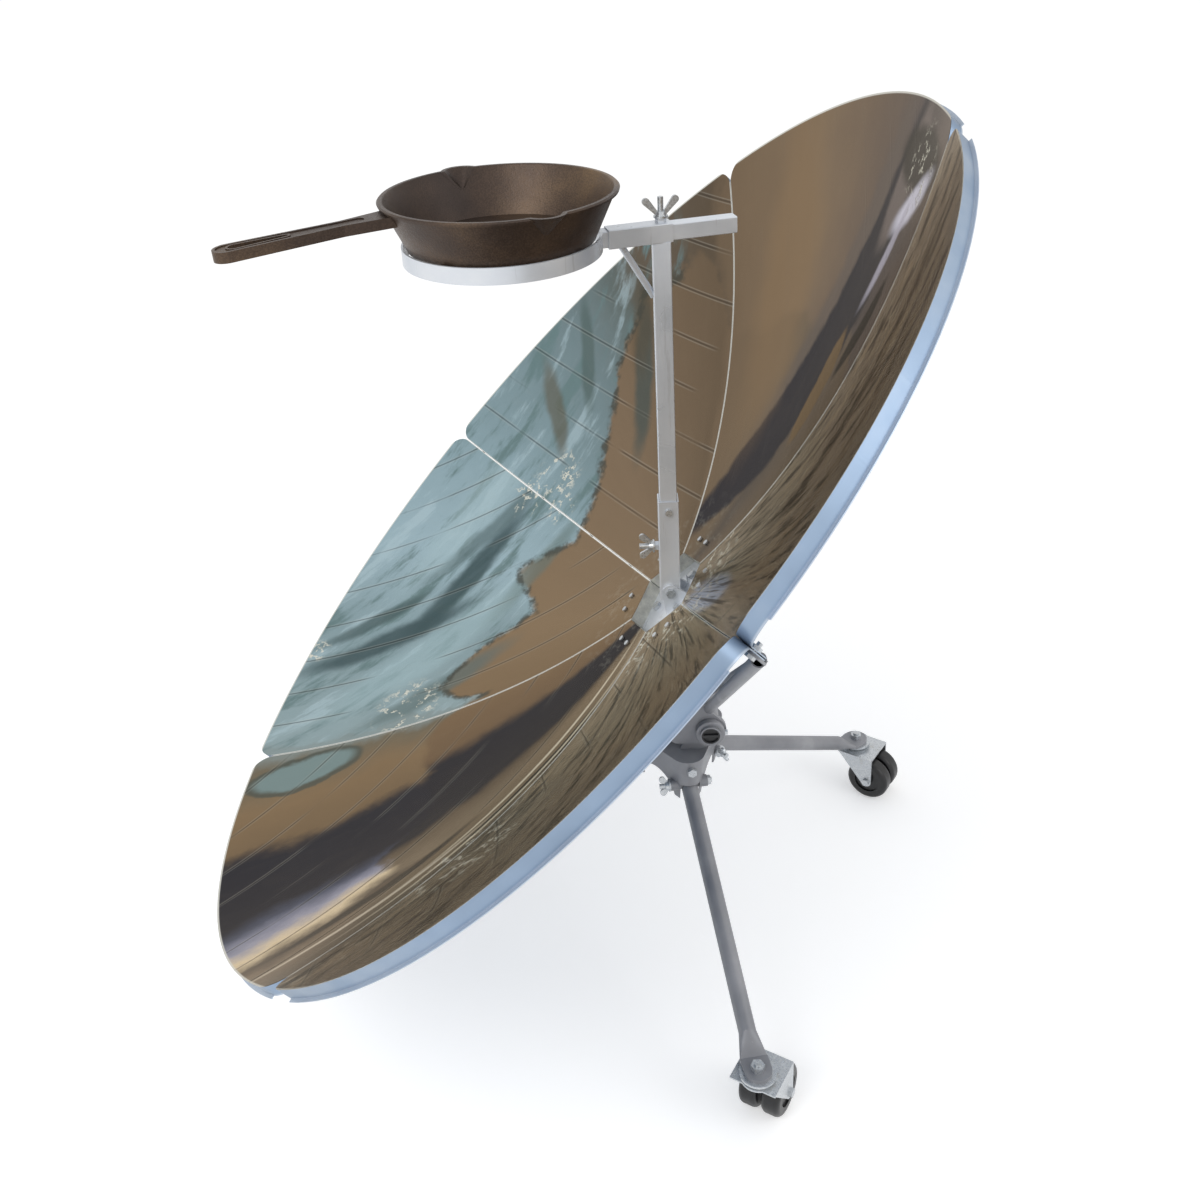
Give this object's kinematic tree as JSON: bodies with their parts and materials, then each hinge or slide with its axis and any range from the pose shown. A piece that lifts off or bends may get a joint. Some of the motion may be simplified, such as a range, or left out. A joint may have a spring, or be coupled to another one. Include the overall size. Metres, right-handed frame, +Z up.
{
  "type": "parabolic solar cooker",
  "caption": "Parabolic solar cooker: petal dish on a folding wheeled stand, with a post, sliding arm and ring that hold a skillet at the focus.",
  "frame": {"origin": "centre of the bounding box at floor level", "axes": "+Z up, -X the way the dish faces and the skillet's handle points, +Y along the tilt tube"},
  "size_m": [1.1258, 1.509, 1.2954],
  "materials": {
    "mirror_petal": "mirror film on pressed sheet",
    "zinc": "zinc plated, satin",
    "silver_paint": "silver powder coat, satin",
    "grey_paint": "dark grey powder coat, satin",
    "black_plastic": "matte",
    "black_nylon": "semi gloss",
    "cast_iron": "seasoned, satin"
  },
  "bodies": {
    "stand": {"corner_bolts": "zinc", "corner_nuts": "zinc", "leg_pivot_nuts": "zinc", "stand_head": "grey_paint"},
    "dish": {"bracket_bolts": "zinc", "bracket_nuts": "zinc", "collar_screws": "zinc", "dish_bracket": "grey_paint", "hub_bushes": "zinc", "hub_nuts": "zinc", "hub_plate": "silver_paint", "hub_screws": "zinc", "lug_screws": "zinc", "petal_1": "mirror_petal", "petal_2": "mirror_petal", "petal_3": "mirror_petal", "petal_4": "mirror_petal", "petal_5": "mirror_petal", "petal_6": "mirror_petal", "petal_seam_bolts": "zinc", "petal_seam_nuts": "zinc", "post_lugs": "silver_paint", "post_pivot_bolt": "zinc", "rim_stay_far": "grey_paint", "rim_stay_near": "grey_paint", "stay_far": "grey_paint", "stay_foot_bolts": "zinc", "stay_foot_nuts": "zinc", "stay_middle": "grey_paint", "stay_near": "grey_paint", "tilt_collars": "grey_paint", "tilt_tube": "grey_paint", "tube_end_plugs": "black_plastic"},
    "post": {"guide_screws": "zinc", "post_sleeve": "silver_paint"},
    "mast": {"post_tube": "silver_paint"},
    "post_wing": {"post_wing_screw": "zinc"},
    "arm_wing": {"arm_wing_screw": "zinc"},
    "arm": {"pot_arm": "silver_paint"},
    "skillet": {"skillet": "cast_iron"},
    "leg_near": {"leg_near": "grey_paint", "caster_stem_near": "zinc"},
    "leg_wing_near": {"leg_wing_screw_near": "zinc"},
    "fork_near": {"caster_fork_near": "zinc", "caster_axle_near": "zinc"},
    "wheels_near": {"caster_wheels_near": "black_nylon"},
    "leg_right": {"leg_right": "grey_paint", "caster_stem_right": "zinc"},
    "leg_wing_right": {"leg_wing_screw_right": "zinc"},
    "fork_right": {"caster_fork_right": "zinc", "caster_axle_right": "zinc"},
    "wheels_right": {"caster_wheels_right": "black_nylon"},
    "leg_back": {"leg_back": "grey_paint", "caster_stem_back": "zinc"},
    "leg_wing_back": {"leg_wing_screw_back": "zinc"},
    "fork_back": {"caster_fork_back": "zinc", "caster_axle_back": "zinc"},
    "wheels_back": {"caster_wheels_back": "black_nylon"}
  },
  "joints": [
    {"name": "dish_tilt", "type": "hinge", "parent": "stand", "child": "dish", "pos_m": [0.199, 0, 0.379], "axis": [0, 1, 0], "range_deg": [-12, 45]},
    {"name": "post_lean", "type": "hinge", "parent": "dish", "child": "post", "pos_m": [0.146, 0, 0.605], "axis": [0, 1, 0], "range_deg": [-45, 12]},
    {"name": "post_slide", "type": "slide", "parent": "post", "child": "mast", "axis": [0, 0, 1], "range_m": [-0.008, 0.05]},
    {"name": "arm_slide", "type": "slide", "parent": "mast", "child": "arm", "axis": [-0.9724, -0.2334, 0], "range_m": [-0.006, 0.06]},
    {"name": "skillet_lift", "type": "slide", "parent": "arm", "child": "skillet", "axis": [0, 0, 1], "range_m": [0, 0.15]},
    {"name": "post_wing_turn", "type": "hinge", "parent": "post", "child": "post_wing", "pos_m": [0.116, 0, 0.675], "axis": [1, 0, 0], "continuous": true},
    {"name": "arm_wing_turn", "type": "hinge", "parent": "mast", "child": "arm_wing", "pos_m": [0.146, 0, 1.168], "axis": [0, 0, 1], "continuous": true},
    {"name": "leg_fold_near", "type": "hinge", "parent": "stand", "child": "leg_near", "pos_m": [0.16442, -0.05909, 0.286], "axis": [0.9848, 0.1736, 0], "range_deg": [0, 50]},
    {"name": "leg_wing_turn_near", "type": "hinge", "parent": "stand", "child": "leg_wing_near", "pos_m": [0.16442, -0.05909, 0.286], "axis": [0.9848, 0.1736, 0], "continuous": true},
    {"name": "caster_swivel_near", "type": "hinge", "parent": "leg_near", "child": "fork_near", "pos_m": [0.23006, -0.43135, 0.09], "axis": [0, 0, 1], "continuous": true},
    {"name": "wheel_roll_near", "type": "hinge", "parent": "fork_near", "child": "wheels_near", "pos_m": [0.24806, -0.40017, 0.0375], "axis": [-0.866, 0.5, 0], "continuous": true},
    {"name": "leg_fold_right", "type": "hinge", "parent": "stand", "child": "leg_right", "pos_m": [0.19996, 0.03857, 0.286], "axis": [-0.6428, 0.766, 0], "range_deg": [0, 50]},
    {"name": "leg_wing_turn_right", "type": "hinge", "parent": "stand", "child": "leg_wing_right", "pos_m": [0.19996, 0.03857, 0.286], "axis": [-0.6428, 0.766, 0], "continuous": true},
    {"name": "caster_swivel_right", "type": "hinge", "parent": "leg_right", "child": "fork_right", "pos_m": [0.48953, 0.28154, 0.09], "axis": [0, 0, 1], "continuous": true},
    {"name": "wheel_roll_right", "type": "hinge", "parent": "fork_right", "child": "wheels_right", "pos_m": [0.51937, 0.26141, 0.0375], "axis": [0.5592, 0.829, 0], "continuous": true},
    {"name": "leg_fold_back", "type": "hinge", "parent": "stand", "child": "leg_back", "pos_m": [0.09762, 0.02052, 0.286], "axis": [-0.342, -0.9397, 0], "range_deg": [0, 50]},
    {"name": "leg_wing_turn_back", "type": "hinge", "parent": "stand", "child": "leg_wing_back", "pos_m": [0.09762, 0.02052, 0.286], "axis": [-0.342, -0.9397, 0], "continuous": true},
    {"name": "caster_swivel_back", "type": "hinge", "parent": "leg_back", "child": "fork_back", "pos_m": [-0.25759, 0.1498, 0.09], "axis": [0, 0, 1], "continuous": true},
    {"name": "wheel_roll_back", "type": "hinge", "parent": "fork_back", "child": "wheels_back", "pos_m": [-0.29141, 0.13749, 0.0375], "axis": [0.342, -0.9397, 0], "continuous": true}
  ]
}
